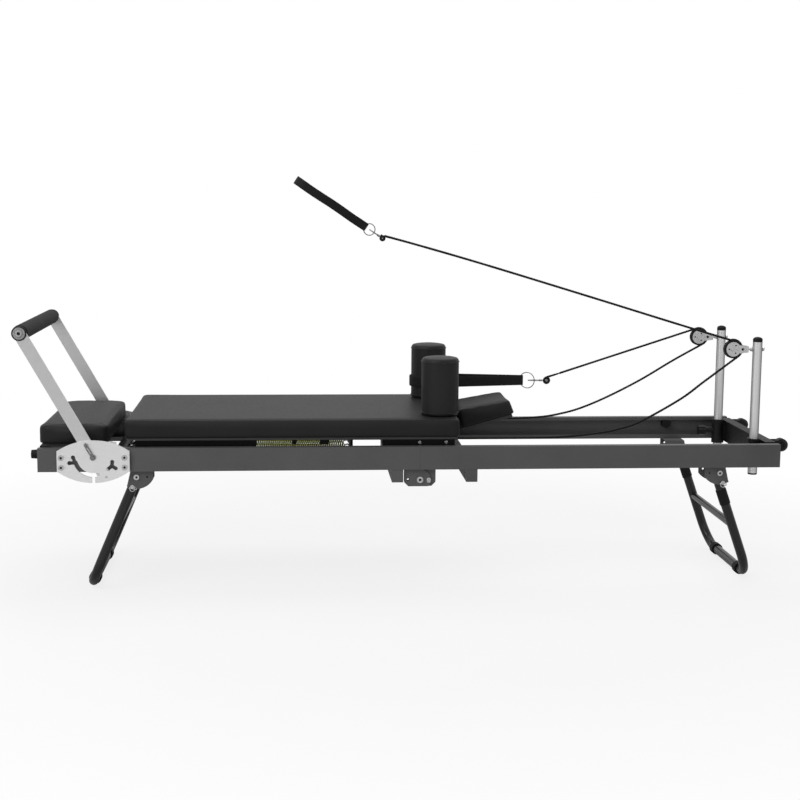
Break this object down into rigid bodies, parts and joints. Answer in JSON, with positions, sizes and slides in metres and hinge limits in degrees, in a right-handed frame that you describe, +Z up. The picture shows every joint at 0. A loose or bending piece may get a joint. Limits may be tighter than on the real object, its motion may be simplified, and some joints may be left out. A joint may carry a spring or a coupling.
{
  "type": "pilates reformer",
  "caption": "Folding pilates reformer: low rail frame, sprung carriage with shoulder rests and headrest, tilting footbar and two rope pulley posts.",
  "frame": {"origin": "on the floor, under the middle of the whole machine as it stands with the footbar leant out, on its centre line", "axes": "+X along the rails from the footbar end to the pulley post end, +Y across, +Z up"},
  "size_m": [2.4179, 0.646, 1.2867],
  "materials": {
    "rail_paint": "satin powder coat",
    "bracket_paint": "fine texture powder coat",
    "black_paint": "black powder coat",
    "leg_paint": "gloss black",
    "zinc": "zinc plated",
    "brushed": "brushed steel",
    "cast_cheek": "die cast",
    "chrome": "polished",
    "foam": "foam grip",
    "rubber": "moulded rubber",
    "hard_plastic": "moulded plastic",
    "wheel_rubber": "tyre",
    "board": "black faced plywood",
    "vinyl": "grained vinyl upholstery",
    "webbing": "woven",
    "spring_steel": "coloured spring coil"
  },
  "bodies": {
    "foot_frame": {"rails_foot_half": "rail_paint", "foot_end_beam": "black_paint", "foot_cross_tube": "rail_paint", "fold_plates_foot": "bracket_paint", "fold_pivot_bolts": "zinc", "leg_brackets_foot": "bracket_paint", "leg_pivot_bolts_foot": "zinc", "footbar_side_plates": "brushed", "footbar_bolts": "zinc", "platform_board": "board", "platform_pad": "vinyl", "spring_anchor_bar": "black_paint", "springs": "spring_steel", "storage_feet": "rubber"},
    "head_frame": {"rails_head_half": "rail_paint", "head_end_beam": "black_paint", "head_cross_tube": "rail_paint", "fold_plates_head": "bracket_paint", "leg_brackets_head": "bracket_paint", "leg_pivot_bolts_head": "zinc", "post_sleeves": "black_paint", "carriage_bumpers": "rubber", "wheel_brackets": "black_paint", "near_rope": "webbing", "far_rope": "webbing"},
    "foot_leg": {"foot_leg_frame": "leg_paint", "foot_leg_pads": "rubber"},
    "head_leg": {"head_leg_frame": "leg_paint", "head_leg_pads": "rubber"},
    "near_fold_pin": {"near_fold_pin": "zinc"},
    "far_fold_pin": {"far_fold_pin": "zinc"},
    "near_foot_leg_pin": {"near_foot_leg_pin": "zinc"},
    "far_foot_leg_pin": {"far_foot_leg_pin": "zinc"},
    "near_head_leg_pin": {"near_head_leg_pin": "zinc"},
    "far_head_leg_pin": {"far_head_leg_pin": "zinc"},
    "footbar": {"footbar_arms": "brushed", "footbar_tube": "brushed", "footbar_grip": "foam", "footbar_end_discs": "hard_plastic"},
    "footbar_levers": {"footbar_lock_levers": "zinc"},
    "post_knobs": {"post_lock_knobs": "hard_plastic"},
    "wheels": {"transport_wheels": "wheel_rubber"},
    "near_post": {"near_post": "chrome", "near_pulley_housing": "cast_cheek"},
    "far_post": {"far_post": "chrome", "far_pulley_housing": "cast_cheek"},
    "near_sheave": {"near_pulley_sheave": "hard_plastic"},
    "far_sheave": {"far_pulley_sheave": "hard_plastic"},
    "carriage": {"carriage_board": "board", "carriage_pad": "vinyl", "carriage_underframe": "black_paint", "carriage_wheel_axles": "zinc"},
    "foot_side_wheels": {"foot_side_wheels": "hard_plastic"},
    "head_side_wheels": {"head_side_wheels": "hard_plastic"},
    "near_rest": {"near_shoulder_rest": "vinyl"},
    "far_rest": {"far_shoulder_rest": "vinyl"},
    "headrest": {"headrest_board": "board", "headrest_pad": "vinyl"},
    "near_strap": {"near_strap": "webbing"},
    "far_strap": {"far_strap": "webbing"}
  },
  "joints": [
    {"name": "frame_fold", "type": "hinge", "parent": "foot_frame", "child": "head_frame", "pos_m": [0.02246, 0, 0.352], "axis": [0, 1, 0], "range_deg": [0, 180], "deforming": ["near_rope", "far_rope", "near_strap", "far_strap"]},
    {"name": "foot_leg_fold", "type": "hinge", "parent": "foot_frame", "child": "foot_leg", "pos_m": [-0.84754, 0, 0.366], "axis": [0, -1, 0], "range_deg": [0, 114]},
    {"name": "head_leg_fold", "type": "hinge", "parent": "head_frame", "child": "head_leg", "pos_m": [0.96946, 0, 0.366], "axis": [0, 1, 0], "range_deg": [0, 110]},
    {"name": "carriage_slide", "type": "slide", "parent": "foot_frame", "child": "carriage", "axis": [1, 0, 0], "range_m": [0, 0.75], "stiffness_N_per_m": 30, "springref_m": -0.05, "deforming": ["springs", "near_rope", "far_rope", "near_strap", "far_strap"]},
    {"name": "foot_side_wheels_spin", "type": "hinge", "parent": "carriage", "child": "foot_side_wheels", "pos_m": [-0.79254, 0, 0.412], "axis": [0, 1, 0], "continuous": true},
    {"name": "head_side_wheels_spin", "type": "hinge", "parent": "carriage", "child": "head_side_wheels", "pos_m": [-0.06254, 0, 0.412], "axis": [0, 1, 0], "continuous": true},
    {"name": "footbar_tilt", "type": "hinge", "parent": "foot_frame", "child": "footbar", "pos_m": [-0.97354, 0, 0.433], "axis": [0, 1, 0], "range_deg": [-42, 100]},
    {"name": "footbar_levers_turn", "type": "hinge", "parent": "footbar", "child": "footbar_levers", "pos_m": [-0.97354, 0, 0.433], "axis": [0, 1, 0], "range_deg": [-25, 0]},
    {"name": "near_rest_lift", "type": "slide", "parent": "carriage", "child": "near_rest", "axis": [0, 0, 1], "range_m": [0, 0.15]},
    {"name": "far_rest_lift", "type": "slide", "parent": "carriage", "child": "far_rest", "axis": [0, 0, 1], "range_m": [0, 0.15]},
    {"name": "headrest_tilt", "type": "hinge", "parent": "carriage", "child": "headrest", "pos_m": [0.15746, 0, 0.47], "axis": [0, 1, 0], "range_deg": [-4, 15.4]},
    {"name": "near_post_height", "type": "slide", "parent": "head_frame", "child": "near_post", "axis": [0, 0, 1], "range_m": [-0.2, 0.03], "deforming": ["near_rope", "near_strap"]},
    {"name": "far_post_height", "type": "slide", "parent": "head_frame", "child": "far_post", "axis": [0, 0, 1], "range_m": [-0.2, 0.03], "deforming": ["far_rope", "far_strap"]},
    {"name": "near_sheave_spin", "type": "hinge", "parent": "near_post", "child": "near_sheave", "pos_m": [1.02246, -0.198, 0.749], "axis": [0, 1, 0], "continuous": true},
    {"name": "far_sheave_spin", "type": "hinge", "parent": "far_post", "child": "far_sheave", "pos_m": [1.02246, 0.198, 0.749], "axis": [0, 1, 0], "continuous": true},
    {"name": "near_strap_swing", "type": "hinge", "parent": "near_post", "child": "near_strap", "pos_m": [1.02246, -0.198, 0.749], "axis": [0, 1, 0], "range_deg": [-42, 10], "deforming": ["near_strap"]},
    {"name": "far_strap_swing", "type": "hinge", "parent": "far_post", "child": "far_strap", "pos_m": [1.02246, 0.198, 0.749], "axis": [0, 1, 0], "range_deg": [-12, 35], "deforming": ["far_strap"]},
    {"name": "transport_wheels_spin", "type": "hinge", "parent": "head_frame", "child": "wheels", "pos_m": [1.18846, 0, 0.442], "axis": [0, 1, 0], "continuous": true},
    {"name": "near_fold_pin_pull", "type": "slide", "parent": "foot_frame", "child": "near_fold_pin", "axis": [0, -1, 0], "range_m": [0, 0.009]},
    {"name": "far_fold_pin_pull", "type": "slide", "parent": "foot_frame", "child": "far_fold_pin", "axis": [0, 1, 0], "range_m": [0, 0.009]},
    {"name": "near_foot_leg_pin_pull", "type": "slide", "parent": "foot_frame", "child": "near_foot_leg_pin", "axis": [0, -1, 0], "range_m": [0, 0.009]},
    {"name": "far_foot_leg_pin_pull", "type": "slide", "parent": "foot_frame", "child": "far_foot_leg_pin", "axis": [0, 1, 0], "range_m": [0, 0.009]},
    {"name": "near_head_leg_pin_pull", "type": "slide", "parent": "head_frame", "child": "near_head_leg_pin", "axis": [0, -1, 0], "range_m": [0, 0.009]},
    {"name": "far_head_leg_pin_pull", "type": "slide", "parent": "head_frame", "child": "far_head_leg_pin", "axis": [0, 1, 0], "range_m": [0, 0.009]},
    {"name": "post_knobs_pull", "type": "slide", "parent": "head_frame", "child": "post_knobs", "axis": [-1, 0, 0], "range_m": [0, 0.008]}
  ],
  "couplings": [
    {"joint": "foot_leg_fold", "follows": "frame_fold", "ratio": 0.6283},
    {"joint": "head_leg_fold", "follows": "frame_fold", "ratio": 0.6083},
    {"joint": "foot_side_wheels_spin", "follows": "carriage_slide", "rad_per_m": 45.455},
    {"joint": "head_side_wheels_spin", "follows": "carriage_slide", "rad_per_m": 45.455}
  ]
}
